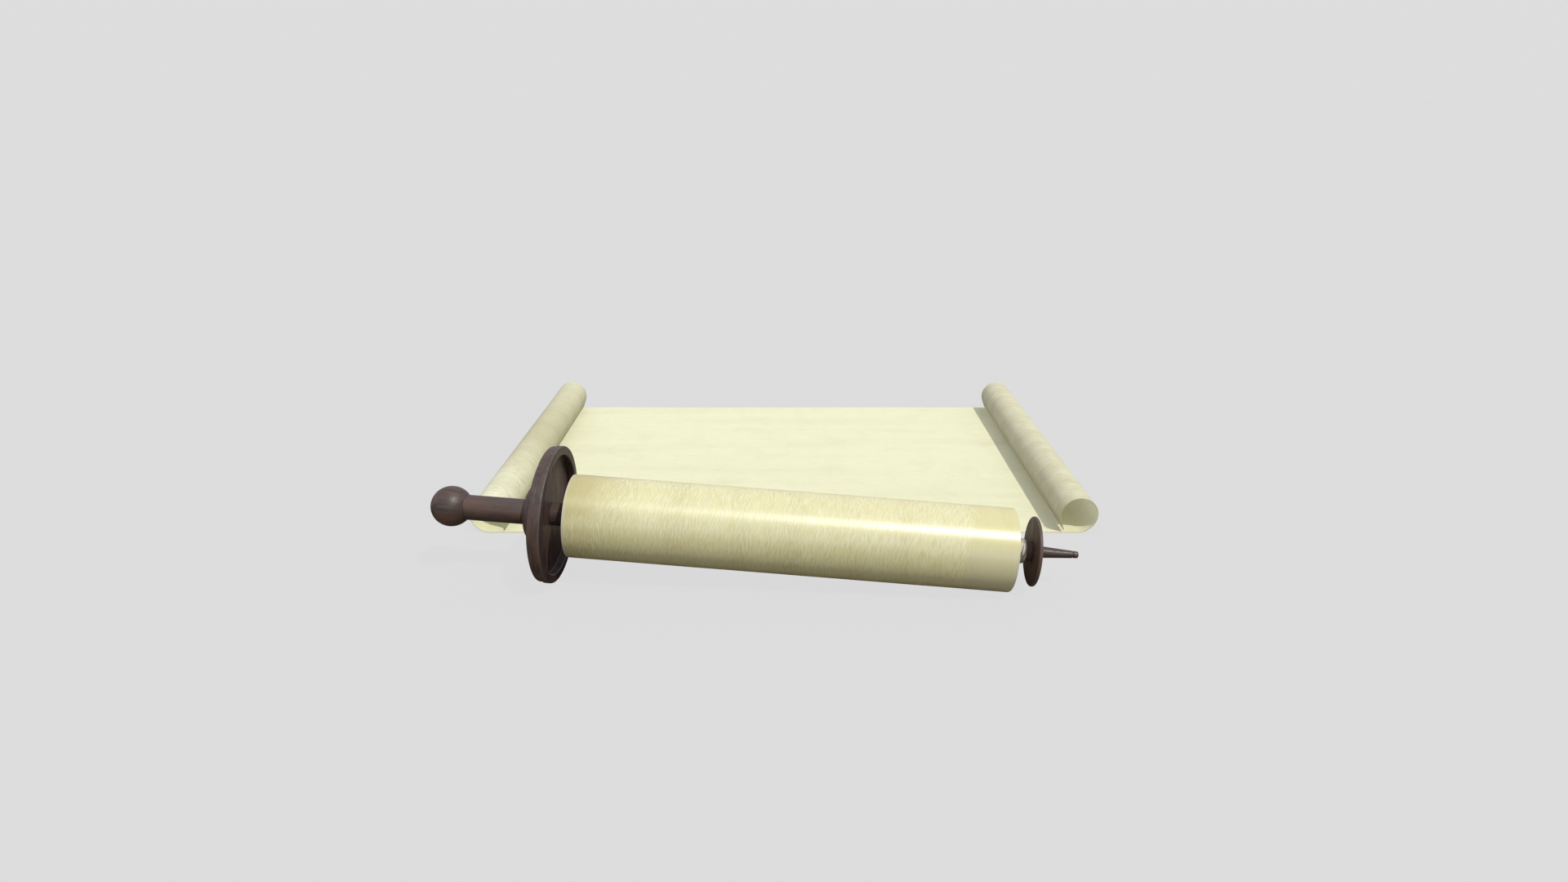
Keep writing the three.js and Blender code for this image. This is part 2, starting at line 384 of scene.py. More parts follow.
def blend(tree, share, first, second):
    """Two colours mixed by a share."""
    ends = [colour if is_socket(colour) else (*colour, 1.0) for colour in (first, second)]
    inputs = {0: share, 6: ends[0], 7: ends[1]}
    return node(tree, "Mix", inputs, data_type="RGBA").outputs[2]


def cloud(tree, place, scale, detail=2.0, roughness=0.5):
    """Soft noise, from about 0.3 to 0.7. Its scale is how many clouds lie in a unit of place."""
    inputs = {"Vector": place, "Scale": scale, "Detail": detail, "Roughness": roughness}
    return node(tree, "TexNoise", inputs).outputs[0]


def stretched(tree, place, scales):
    """A place scaled by its own amount along each axis."""
    inputs = {0: place, 1: scales}
    return node(tree, "VectorMath", inputs, operation="MULTIPLY").outputs[0]


def new_group(name, inputs, outputs):
    """An empty node group with named sockets, each with its type."""
    tree = bpy.data.node_groups.new(name, "ShaderNodeTree")
    for label, kind in inputs.items():
        tree.interface.new_socket(label, in_out="INPUT", socket_type="NodeSocket" + kind)
    for label, kind in outputs.items():
        tree.interface.new_socket(label, in_out="OUTPUT", socket_type="NodeSocket" + kind)
    return tree, tree.nodes.new("NodeGroupInput").outputs, tree.nodes.new("NodeGroupOutput").inputs


def use(tree, group, inputs):
    """A node group placed in a material."""
    return node(tree, "Group", inputs, node_tree=bpy.data.node_groups[group]).outputs


def fibre_group():
    """Fibres that run along the skin, slanted and wandering: soft streaks, and thin hairs.

    Length and Width are those of one fibre in metres, and Slant is sideways over along.
    """
    sizes = {"Length": "Float", "Width": "Float", "Slant": "Float", "Wander": "Float"}
    looks = {"Streaks": "Float", "Hairs": "Float"}
    tree, given, result = new_group("skin fibres", {"Place": "Vector", **sizes}, looks)
    place = node(tree, "SeparateXYZ", {0: given["Place"]}).outputs
    drift = maths(tree, "SUBTRACT", cloud(tree, given["Place"], 28.0, 1.0), 0.5)
    drift = times(tree, drift, given["Wander"])
    across = maths(tree, "MULTIPLY_ADD", place[0], given["Slant"], place[1])
    across = maths(tree, "DIVIDE", maths(tree, "ADD", across, drift), given["Width"])
    along = maths(tree, "DIVIDE", place[0], given["Length"])
    lines = node(tree, "CombineXYZ", {0: along, 1: across}).outputs[0]
    tree.links.new(cloud(tree, lines, 1.0, 3.0, 0.62), result["Streaks"])
    thread = maths(tree, "SUBTRACT", cloud(tree, lines, 1.35, 1.0), 0.5)
    thread = maths(tree, "ABSOLUTE", thread)
    tree.links.new(remap(tree, thread, 0.0, 0.055, 1.0, 0.0), result["Hairs"])


def skin_group():
    """Clouding, broad bands along the skin, and its pores."""
    looks = {"Clouding": "Float", "Bands": "Float", "Pores": "Float"}
    tree, given, result = new_group("skin surface", {"Place": "Vector"}, looks)
    place = given["Place"]
    tree.links.new(cloud(tree, place, 22.0, 4.0, 0.55), result["Clouding"])
    bands = stretched(tree, place, (2.2, 30.0, 1.0))
    tree.links.new(cloud(tree, bands, 1.0, 3.0, 0.5), result["Bands"])
    pits = node(tree, "TexVoronoi", {"Vector": place, "Scale": 1500.0}, feature="F1").outputs[0]
    tree.links.new(remap(tree, pits, 0.0, 0.28), result["Pores"])


def figure_group():
    """The figure of a dark open-pored wood whose grain runs along X."""
    looks = {"Figure": "Float", "Pores": "Float", "Warmth": "Float"}
    tree, given, result = new_group("wood figure", {"Place": "Vector"}, looks)
    place = given["Place"]
    rings = stretched(tree, place, (24.0, 240.0, 240.0))
    bend = cloud(tree, stretched(tree, place, (12.0, 60.0, 60.0)), 1.0, 2.0)
    shift = node(tree, "VectorMath", {0: rings, 1: bend}, operation="ADD").outputs[0]
    tree.links.new(cloud(tree, shift, 1.0, 4.0, 0.6), result["Figure"])
    pores = cloud(tree, stretched(tree, place, (130.0, 2300.0, 2300.0)), 1.0, 1.0)
    tree.links.new(remap(tree, pores, 0.56, 0.68), result["Pores"])
    warmth = cloud(tree, stretched(tree, place, (30.0, 95.0, 95.0)), 1.0, 3.0)
    tree.links.new(remap(tree, warmth, 0.42, 0.62), result["Warmth"])


# Finishes


def new_finish(name, roughness, **plain):
    """A material with its plain values set on the shader. Returns it, its tree and shader."""
    material = bpy.data.materials.new(name)
    material.use_nodes = True
    tree = material.node_tree
    shader = tree.nodes["Principled BSDF"]
    shader.inputs["Roughness"].default_value = roughness
    for socket, value in plain.items():
        shader.inputs[socket].default_value = value
    return material, tree, shader


def raised(tree, shader, height, distance):
    """Feeds a height to the shader's normal."""
    inputs = {"Height": height, "Distance": distance}
    tree.links.new(node(tree, "Bump", inputs).outputs[0], shader.inputs["Normal"])


def through_skin(glow):
    """Plain shader values that let some light through a thin skin."""
    return {
        "Subsurface Weight": glow,
        "Subsurface Radius": (1.0, 0.86, 0.6),
        "Subsurface Scale": 0.0025,
    }


def in_roller(tree):
    """A surface point in the roller's own space."""
    place = node(tree, "TexCoord").outputs["Object"]
    about = {1: ROLLER.translation, 2: ROLLER.to_euler()}
    return node(tree, "Mapping", {0: place, **about}, vector_type="TEXTURE").outputs[0]


def seen_and_cast(tree, colour, passed_on, where=1.0):
    """A colour as it is seen, and weaker where it only lights another surface."""
    casts = node(tree, "LightPath").outputs["Is Diffuse Ray"]
    less = times(tree, times(tree, casts, where), 1 - passed_on)
    return blend(tree, less, colour, BLACK)


def plain_skin(skin, name, colour, contrast, roughness):
    """Plain parchment: fibres along its length, faint bands, clouding and fine pores.

    Returns the material, its tree and shader, and its colour, which isn't linked yet.
    """
    shade = skin.shade
    material, tree, shader = new_finish(name, roughness, **through_skin(skin.glow))
    place = node(tree, "UVMap", uv_map="skin").outputs[0]
    surface = use(tree, "skin surface", {"Place": place})
    sizes = {"Length": 0.019, "Width": 0.0018, "Slant": 0.02, "Wander": 0.006}
    fibres = use(tree, "skin fibres", {"Place": place, **sizes})
    look = blend(tree, remap(tree, fibres["Streaks"], 0.52, 0.3, 0.0, contrast), colour, shade)
    look = blend(tree, times(tree, fibres["Hairs"], contrast * 0.45), look, shade)
    soft = contrast * 0.4 + 0.05
    for effect, low, high in (("Bands", 0.45, 0.68), ("Clouding", 0.5, 0.72)):
        look = blend(tree, remap(tree, surface[effect], low, high, 0.0, soft), look, shade)
    rough = remap(tree, fibres["Streaks"], 0.35, 0.65, roughness + 0.06, roughness - 0.06)
    tree.links.new(rough, shader.inputs["Roughness"])
    relief = maths(tree, "MULTIPLY_ADD", surface["Pores"], 0.25, fibres["Streaks"])
    raised(tree, shader, relief, 0.0002)
    return material, tree, shader, look


def face_finish(skin):
    """The scraped side. Inside the curls it has a painted glow, an emission that stands in for light
    through the skin.
    """
    made = plain_skin(skin, "parchment face", skin.face, contrast=0.14, roughness=0.72)
    material, tree, shader, look = made
    curled = node(tree, "Attribute", attribute_name="curled").outputs["Fac"]
    flat = maths(tree, "SUBTRACT", 1.0, curled)
    look = seen_and_cast(tree, look, skin.passed_on, flat)
    tree.links.new(look, shader.inputs["Base Color"])
    # Painted glow: an emission inside the curls, not a lamp.
    through = blend(tree, curled, BLACK, skin.curl_glow)
    tree.links.new(through, shader.inputs["Emission Color"])
    shader.inputs["Emission Strength"].default_value = 1.0
    return material


def back_finish(skin):
    """The outer side. The left curl darkens from its near end on, and a painted shadow darkens its free
    edge.

    Places along the skin count from that edge.
    """
    made = plain_skin(skin, "parchment back", skin.back, contrast=0.72, roughness=0.62)
    material, tree, shader, look = made
    low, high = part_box("parchment_sheet")
    depth = high.y - low.y
    place = node(tree, "UVMap", uv_map="skin").outputs[0]
    along, across, _ = node(tree, "SeparateXYZ", {0: place}).outputs
    rise = remap(tree, across, depth * 0.05, depth * 0.45, 0.0, 0.75)
    fall = remap(tree, across, depth * 0.6, depth * 0.95, 0.0, 0.3)
    on_left_curl = remap(tree, along, 0.13, 0.16, 1.0, 0.0)
    elsewhere = 0.42
    dim = between(tree, on_left_curl, elsewhere, maths(tree, "SUBTRACT", rise, fall))
    look = blend(tree, dim, look, skin.shade)
    # Painted shadow: a dark line along the left curl's free edge, where it meets the sheet.
    painted_gap_shadow = remap(tree, along, 0.0045, 0.0015, 0.0, 0.6)
    tree.links.new(blend(tree, painted_gap_shadow, look, skin.stain_and_gap_shadow), shader.inputs["Base Color"])
    return material


def strokes(tree, place):
    """Short strokes in two slants, one or the other by patches: their streaks and their hairs."""
    lean = {"Length": 0.012, "Width": 0.0016, "Slant": -0.16, "Wander": 0.004}
    counter = {"Length": 0.011, "Width": 0.0018, "Slant": 0.0, "Wander": 0.006}
    leaning = use(tree, "skin fibres", {"Place": place, **lean})
    crossing = use(tree, "skin fibres", {"Place": place, **counter})
    choice = remap(tree, cloud(tree, place, 30.0, 1.0), 0.5, 0.6)
    return [between(tree, choice, leaning[kind], crossing[kind]) for kind in ("Streaks", "Hairs")]


def winding_masks(tree, place, skin):
    """Shares of the winding's surface that differ, by place across the skin and by height."""
    low, high, outer = span("parchment_roll")
    end = high - skin.sleeve
    across = node(tree, "SeparateXYZ", {0: place}).outputs[1]
    uneven = maths(tree, "SUBTRACT", cloud(tree, place, 60.0), 0.5)
    uneven = maths(tree, "MULTIPLY_ADD", uneven, 0.03, across)
    height = node(tree, "SeparateXYZ", {0: in_roller(tree)}).outputs[2]
    height = maths(tree, "DIVIDE", height, outer)

    below = remap(tree, height, 0.5, 0.25)
    grip_side = larger(tree, remap(tree, uneven, low + 0.024, low + 0.05), below)
    spindle_side = remap(tree, uneven, end - 0.042, end - 0.054)
    sleeve = remap(tree, across, end, end + 0.0005)
    haired = times(tree, grip_side, spindle_side)
    haired = times(tree, haired, remap(tree, height, -0.8, -0.35, 0.25, 1.0))
    dull = remap(tree, uneven, low + 0.08, low + 0.02, 0.0, 0.95)
    # Painted sheen, a highlight along the end rims: all round at the grip end, low down at the spindle
    # end.
    near_rim = remap(tree, across, low + 0.004, low + 0.001)
    far_rim = times(tree, remap(tree, across, end - 0.005, end - 0.001), below)
    return {
        "below": below,
        "sleeve": sleeve,
        "haired": larger(tree, haired, sleeve),
        "dull": times(tree, dull, remap(tree, below, 0.0, 1.0, 1.0, 0.55)),
        "plainer": times(tree, maths(tree, "SUBTRACT", 1.0, spindle_side), 0.24),
        "painted_rim_sheen": times(tree, larger(tree, near_rim, far_rim), 0.7),
    }


def winding_finish(skin):
    """The burnished outer turn: short slanted strokes, ochre patches and smoother ends."""
    plain = {
        "IOR": 1.75,
        "Specular IOR Level": 1.0,
        "Anisotropic": 0.55,
        "Anisotropic Rotation": 0.25,
        **through_skin(skin.glow),
    }
    material, tree, shader = new_finish("wound parchment", 0.36, **plain)
    tangent = node(tree, "Tangent", direction_type="UV_MAP", uv_map="skin")
    tree.links.new(tangent.outputs[0], shader.inputs["Tangent"])
    place = node(tree, "UVMap", uv_map="skin").outputs[0]
    lines, hairs = strokes(tree, place)
    mask = winding_masks(tree, place, skin)

    bands = use(tree, "skin surface", {"Place": place})["Bands"]
    smooth = blend(tree, mask["below"], skin.ochre, skin.rim)
    strength = maths(tree, "MULTIPLY_ADD", mask["haired"], 0.8, 0.2)
    streaks = times(tree, remap(tree, lines, 0.52, 0.42), mask["sleeve"])
    shade = skin.burnished
    for share, colour in (
        (remap(tree, bands, 0.48, 0.72, 0.0, 0.36), skin.ochre),
        (mask["dull"], skin.ochre),
        (mask["plainer"], smooth),
        (times(tree, remap(tree, lines, 0.5, 0.33, 0.0, 0.45), strength), skin.ochre),
        (times(tree, remap(tree, lines, 0.5, 0.64, 0.0, 0.75), strength), skin.bleached),
        (times(tree, hairs, times(tree, mask["haired"], 0.45)), skin.bleached),
        # Painted sheen on the end rims
        (mask["painted_rim_sheen"], skin.rim),
        (times(tree, streaks, 0.85), skin.stain_and_gap_shadow),
    ):
        shade = blend(tree, share, shade, colour)
    tree.links.new(seen_and_cast(tree, shade, skin.passed_on), shader.inputs["Base Color"])
    rough = remap(tree, lines, 0.35, 0.65, 0.39, 0.33)
    rough = larger(tree, rough, times(tree, mask["sleeve"], 0.75))
    tree.links.new(rough, shader.inputs["Roughness"])
    raised(tree, shader, times(tree, lines, strength), 0.0001)
    return material


def wood_finish(name, turning, main, grain, gloss):
    """Dark turned wood, its grain turned by grain from the roller's axis."""
    material, tree, shader = new_finish(name, 0.45, **{"Specular IOR Level": gloss})
    place = node(tree, "Mapping", {0: in_roller(tree), 2: grain}).outputs[0]
    look = use(tree, "wood figure", {"Place": place})
    figure = remap(tree, look["Figure"], 0.36, 0.64)
    shade = blend(tree, figure, turning.dark, main)
    shade = blend(tree, times(tree, look["Warmth"], 0.6), shade, turning.warm)
    proud, hollow, painted_shade = (
        node(tree, "Attribute", attribute_name=mark).outputs["Fac"]
        for mark in ("proud", "hollow", "painted_shade")
    )
    wear = times(tree, remap(tree, proud, 0.25, 0.9), 0.45)
    shade = blend(tree, wear, shade, turning.worn)
    # Darker in the turned hollows
    hollow_dark = times(tree, remap(tree, hollow, 0.25, 0.9), 0.7)
    # Painted shade on the marked span, at half strength
    shade = blend(tree, larger(tree, hollow_dark, times(tree, painted_shade, 0.5)), shade, BLACK)
    shade = blend(tree, times(tree, look["Pores"], 0.55), shade, turning.dark)
    tree.links.new(shade, shader.inputs["Base Color"])
    tree.links.new(remap(tree, figure, 0.0, 1.0, 0.5, 0.4), shader.inputs["Roughness"])
    raised(tree, shader, maths(tree, "MULTIPLY_ADD", look["Pores"], -0.6, figure), 0.00008)
    return material


def edge_finish(skin):
    """The cut edges of the skin, whose shade wanders from turn to turn."""
    material, tree, shader = new_finish("parchment edge", 0.8)
    place = node(tree, "TexCoord").outputs["Object"]
    travelled = node(tree, "UVMap", uv_map="skin").outputs[0]
    layers = cloud(tree, stretched(tree, travelled, (9.0, 0.0, 0.0)), 1.0, 3.0, 0.6)
    worn = remap(tree, layers, 0.42, 0.62, 0.0, 0.85)
    spots = remap(tree, cloud(tree, place, 260.0, 3.0), 0.4, 0.62, 0.0, 0.3)
    shade = blend(tree, worn, skin.edge, skin.ochre)
    shade = blend(tree, spots, shade, skin.ochre)
    tree.links.new(shade, shader.inputs["Base Color"])
    raised(tree, shader, cloud(tree, place, 2200.0, 2.0), 0.00008)
    return material


def finish(name):
    """The finish of that name, made when it is first asked for."""
    skin, turning = bpy.context.scene.scroll_skin, bpy.context.scene.scroll_turning
    for group, make in (
        ("skin fibres", fibre_group),
        ("skin surface", skin_group),
        ("wood figure", figure_group),
    ):
        if group not in bpy.data.node_groups:
            make()
    along, across = (0, 0, 0), (0, math.radians(84), 0)
    makers = {
        "parchment face": lambda: face_finish(skin),
        "parchment back": lambda: back_finish(skin),
        "parchment edge": lambda: edge_finish(skin),
        "wound parchment": lambda: winding_finish(skin),
        "wood along": lambda: wood_finish(name, turning, turning.mid, along, gloss=0.65),
        "wood across": lambda: wood_finish(name, turning, turning.mid, across, gloss=0.6),
        "wood face": lambda: wood_finish(name, turning, turning.flat, across, gloss=0.12),
        "wood thin": lambda: wood_finish(name, turning, turning.thin, across, gloss=0.12),
    }
    return bpy.data.materials.get(name) or makers[name]()


# Parchment


def noise_at(x, y, z):
    """Smooth noise at a place, from about -1 to 1."""
    return noise.noise(Vector((x, y, z)))


def skin_section(half, radius, skin):
    """Points (x, z) of the sheet's underside from one free edge to the other."""
    fall = skin.opening
    turned = math.tau - fall
    bend = [turned * i / CURL_CUTS - math.radians(90) for i in range(1, CURL_CUTS + 1)]
    flat = [(half * i / FLAT_CUTS, 0.0) for i in range(FLAT_CUTS + 1)]
    curl = [(half + radius * math.cos(a), radius + radius * math.sin(a)) for a in bend]
    reach = (radius * (1 - math.cos(fall)) - skin.thickness - skin.mouth) / math.sin(fall)
    x, z = curl[-1]
    free = [
        (x + reach * share * math.cos(fall), z - reach * share * math.sin(fall))
        for share in (0.34, 0.67, 1.0)
    ]
    right = flat + curl + free
    return [(-x, z) for x, z in reversed(right[1:])] + right


def drawn_out(section, radius, depth):
    """A skin's section drawn out to its depth, with its UV map in metres.

    Its corners keep how far along the section they are, and how far up a curl.
    """
    form = bmesh.new()
    along = form.verts.layers.float.new("along")
    curled = form.verts.layers.float.new("curled")
    line, travelled = [], 0.0
    for i, (x, z) in enumerate(section):
        if i:
            travelled += math.dist((x, z), section[i - 1])
        vert = form.verts.new((x, 0.0, z))
        vert[along] = travelled
        vert[curled] = min(1.0, z / radius)
        line.append(vert)
    edges = [form.edges.new(ends) for ends in zip(line, line[1:])]
    bmesh.ops.spin(
        form,
        geom=line + edges,
        cent=(0, 0, 0),
        axis=(1, 0, 0),
        dvec=(0, depth / SHEET_CUTS, 0),
        angle=0.0,
        steps=SHEET_CUTS,
        use_merge=False,
        use_duplicate=False,
    )
    skin_map = form.loops.layers.uv.new("skin")
    for face in form.faces:
        for loop in face.loops:
            loop[skin_map].uv = (loop.vert[along], loop.vert.co.y)
    return form


def cockled(point, half, skin):
    """How high a point of the flat skin stands, where the skin has cockled. Flat by the curls."""
    inside = max(0.0, min(1.0, (half - abs(point.x)) / skin.settled))
    wave = noise_at(point.x * 7.0, point.y * 9.0, 0.3)
    ripple = noise_at(point.x * 19.0, point.y * 23.0, 4.1)
    return skin.cockle * inside * (0.55 + 0.7 * wave + 0.3 * ripple)


def roughened(form, half, radius, depth, skin):
    """Makes a drawn-out skin uneven: its curls' roundness, its flat middle and its cut edges."""
    along = form.verts.layers.float["along"]
    for vert in form.verts:
        x, y, z = vert.co
        if abs(x) > half - radius and z > 0:
            side = math.copysign(1.0, x)
            grown = 1 + skin.out_of_round * noise_at(side * 3.0, y * 6.0, 1.7)
            vert.co.x = side * (half + (abs(x) - half) * grown)
            vert.co.z = z * grown
        elif z == 0:
            vert.co.z = max(0.0, cockled(vert.co, half, skin))
        if min(y, depth - y) < depth / SHEET_CUTS / 2:
            vert.co.y += skin.deckle * noise_at(vert[along] * 25.0, y * 5.0, 2.2)


def make_sheet(skin):
    """The opened parchment, its ends curled up."""
    low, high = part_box("parchment_sheet")
    radius = (high.z - low.z) / 2
    centre = (low.x + high.x) / 2
    half = (high.x - low.x) / 2 - radius
    depth = high.y - low.y
    form = drawn_out(skin_section(half, radius, skin), radius, depth)
    roughened(form, half, radius, depth, skin)
    bmesh.ops.recalc_face_normals(form, faces=form.faces)
    underneath = min(form.faces, key=lambda face: face.calc_center_median().z)
    if underneath.normal.z > 0:
        bmesh.ops.reverse_faces(form, faces=form.faces)
    form.transform(Matrix.Translation((centre, low.y, low.z)))
    finishes = [finish(f"parchment {side}") for side in ("back", "face", "edge")]
    sheet = placed("opened_parchment", form, "parchment_sheet", finishes)
    skinned(sheet, skin.thickness)


def drawn_back(radius, outer, rounding):
    """How far the rounding of the winding's end draws a turn back."""
    past = max(0.0, radius - (outer - rounding))
    return rounding - math.sqrt(max(0.0, rounding**2 - past**2))


def uneven_end(turn, seed, skin):
    """How far a turn's edge stands back from the end: in groups of turns, and each a little."""
    groups = noise_at(turn * 0.23, seed, 0.5)
    single = noise_at(turn * 0.93, seed, 7.5)
    return skin.stagger * max(0.0, 0.5 + 0.75 * groups + 0.45 * single)


def loosened(form, share_of, turns, body, skin):
    """Cuts the outermost turn finer, lets it lie slack and lifts its free corner."""
    low, high = body
    longways = [
        edge
        for edge in form.edges
        if abs(edge.verts[0].co.x - edge.verts[1].co.x) > (high - low) / 2
        and edge.verts[0][share_of] < OUTER_TURNS / turns
    ]
    bmesh.ops.subdivide_edges(form, edges=longways, cuts=OUTER_CUTS, use_grid_fill=True)
    for vert in form.verts:
        turn = vert[share_of] * turns
        if turn < OUTER_TURNS:
            outwards = Vector((0.0, vert.co.y, vert.co.z)).normalized()
            slack = skin.slack * (1 + noise_at(vert.co.x * 14.0, turn * 5.0, 6.6))
            reach = max(0.0, (vert.co.x - low) / (high - low))
            corner = max(0.0, 1 - turn / skin.lifted) * reach
            vert.co += outwards * (slack + skin.lift * corner**2)


def make_winding(skin, turning):
    """The wound parchment: one long skin, spiralling in from its free edge to the rod."""
    low, high, outer = span("parchment_roll")
    body = (low, high - skin.sleeve)
    # Radii of the rod and of the innermost turn, each at the grip side and at the spindle's
    rods = (span("core_rod")[2], turning.rod_right)
    cores = [rod + turning.fit + skin.wound for rod in rods]
    turns = (outer - cores[0]) / skin.pitch
    count = int(turns * TURN_CUTS)

    def ends(turn, radius):
        """Places of the skin's two edges along the axis, at a turn from the outside."""
        left = body[0] + drawn_back(radius, outer, skin.left_round) + uneven_end(turn, 3, skin)
        right = body[1] - drawn_back(radius, outer, skin.right_round) - uneven_end(turn, 8, skin)
        from_rod = radius - cores[1]
        if from_rod < skin.sleeve_wall:
            right = high - skin.sleeve_step * max(0.0, from_rod) / skin.pitch
        return left, right

    form = bmesh.new()
    share_of = form.verts.layers.float.new("share")
    line = []
    for i in range(count + 1):
        vert = form.verts.new()
        vert[share_of] = i / count
        line.append(vert)
    edges = [form.edges.new(pair) for pair in zip(line, line[1:])]
    made = bmesh.ops.extrude_edge_only(form, edges=edges)["geom"]
    far = {vert for vert in made if isinstance(vert, bmesh.types.BMVert)}

    lengths = {}
    for vert in form.verts:
        share = vert[share_of]
        side = int(vert in far)
        radius = outer - (outer - cores[side]) * share
        place = ends(turns * share, radius)[side]
        wound = math.tau * turns * share
        turned = skin.free_edge + wound
        vert.co = (place, radius * math.sin(turned), radius * math.cos(turned))
        lengths[vert] = wound * (outer - (outer - cores[0]) * share / 2)
    skin_map = form.loops.layers.uv.new("skin")
    for face in form.faces:
        for loop in face.loops:
            loop[skin_map].uv = (lengths[loop.vert], loop.vert.co.x)

    loosened(form, share_of, turns, body, skin)
    bmesh.ops.recalc_face_normals(form, faces=form.faces)
    topmost = max(form.faces, key=lambda face: face.calc_center_median().z)
    if topmost.normal.z < 0:
        bmesh.ops.reverse_faces(form, faces=form.faces)
    form.transform(ROLLER)
    finishes = [finish(name) for name in ("wound parchment", "parchment back", "parchment edge")]
    winding = placed("wound_parchment", form, "parchment_roll", finishes)
    skinned(winding, skin.wound)


# Turned wood


def make_rod(turning):
    """The rod, with its tenon and the tapered spindle."""
    low, high, radius = span("core_rod")
    shoulder = span("large_disc")[1] - turning.recess + turning.fit
    disc_face, disc_back, _ = span("small_disc")
    root, tip = turning.spindle_root, turning.spindle_tip

    def taper(back):
        """The spindle's point so far back from its tip."""
        place = high - back
        share = (place - disc_back) / (high - disc_back)
        return place, root + (tip - root) * share

    def ring(offset, depth):
        """A point of the groove turned round the spindle."""
        place, wide = taper(turning.spindle_ring + offset)
        return place, wide - depth, 0.0004

    outline = [
        (low, 0.0),
        (low, turning.tenon, 0.001),
        (shoulder, turning.tenon),
        (shoulder, radius, 0.0006),
        (disc_face - turning.fit, turning.rod_right, 0.0006),
        (disc_face - turning.fit, root),
        (disc_back + turning.fit, root),
        ring(0.0007, 0.0),
        ring(0.0, turning.ring_depth),
        ring(-0.0007, 0.0),
        (*taper(0.0), 0.0016),
        (high, 0.0),
    ]
    turned_piece("rod_and_spindle", softened(outline), "core_rod", [finish("wood along")])


def make_lipped_disc(turning):
    """The large disc: lip and recess, two rim beads, a domed back and a cushion hub."""
    end, face, radius = span("large_disc")
    inner_back = face - turning.inner_bead
    outer_face = inner_back - turning.bead_groove
    beads = outer_face - turning.outer_bead
    foot = beads - turning.back_depth
    bead_end = foot - turning.hub_bead
    second = radius - turning.bead_drop
    floor = face - turning.recess
    recess = radius - turning.lip_width
    bore = turning.tenon + turning.fit
    hub_face = turning.grip_radius + turning.hub_margin
    cushion = turning.hub_radius - turning.hub_step
    groove = radius - turning.groove_depth

    def swell(share):
        """A point of the hub's cushion, a quarter of an ellipse."""
        turn = math.radians(90) * share
        across = hub_face + (cushion - hub_face) * math.sin(turn)
        return bead_end + (end - bead_end) * math.cos(turn), across

    def fall(share):
        """A point of the domed back, from the hub's foot to the beads."""
        rest = 1 - share
        across = second - (second - turning.hub_radius) * rest**1.5
        return beads - turning.back_depth * rest, across

    outline = [
        (end, bore),
        (end, hub_face - 0.0012, 0.0004),
        *[swell(i / 12) for i in range(13)],
        (bead_end + 0.0002, cushion - 0.0006, 0.0003),
        (bead_end, turning.hub_radius, 0.0009),
        (foot, turning.hub_radius, 0.0009),
        (foot + 0.0001, turning.hub_radius - 0.0007, 0.0003),
        *[fall(i / 16) for i in range(1, 16)],
        (beads, second, 0.0008),
        (outer_face, second, 0.0012),
        (outer_face + 0.0001, groove, 0.0001),
        (inner_back - 0.0001, groove, 0.0001),
        (inner_back, radius, 0.0014),
        (face, radius, 0.0016),
        (face, recess, 0.0011),
        (floor, recess, 0.0022),
        (floor, bore),
        (end, bore),
    ]
    finishes = [finish("wood across"), finish("wood face")]
    # Painted shade: the lip face is darkened by half.
    shaded_lip_face = (face - 0.0006, face + 0.0001)
    turned_piece("lipped_disc", softened(outline, 5), "large_disc", finishes, shaded_lip_face)


def make_thin_disc(turning):
    """The small disc, its rim rounded over."""
    low, high, radius = span("small_disc")
    bore = turning.spindle_root + turning.fit
    rim = (high - low) * 0.48
    outline = [
        (high, bore),
        (low, bore),
        (low, radius, rim),
        (high, radius, rim),
        (high, bore),
    ]
    # The end faces take the lighter painted-light colour
    finishes = [finish("wood across"), finish("wood thin")]
    turned_piece("thin_disc", softened(outline, 7), "small_disc", finishes)


def make_grip(turning):
    """The grip and its ball."""
    low, high, ball = span("ball_handle")
    grip = turning.grip_radius
    centre = low + ball
    join = math.asin(math.sqrt(ball**2 - grip**2) / ball)
    bore = turning.tenon + turning.fit
    socket = high - turning.tenon_depth - turning.fit
    ring = high - turning.grip_ring

    def round_of(share):
        """A point of the ball, from its pole to 3 degrees short of the grip."""
        turn = (join + math.radians(87)) * share - math.radians(90)
        return centre + ball * math.sin(turn), ball * math.cos(turn)

    outline = [
        (low, 0.0),
        *[round_of(i / 40) for i in range(1, 41)],
        (centre + ball * math.sin(join), grip, 0.0012),
        (ring - 0.0005, grip, 0.0003),
        (ring, grip - turning.ring_depth, 0.0003),
        (ring + 0.0005, grip, 0.0003),
        (high, grip, 0.0009),
        (high, bore),
        (socket, bore),
        (socket, 0.0),
    ]
    turned_piece("grip_and_ball", softened(outline), "ball_handle", [finish("wood along")])


# Stage


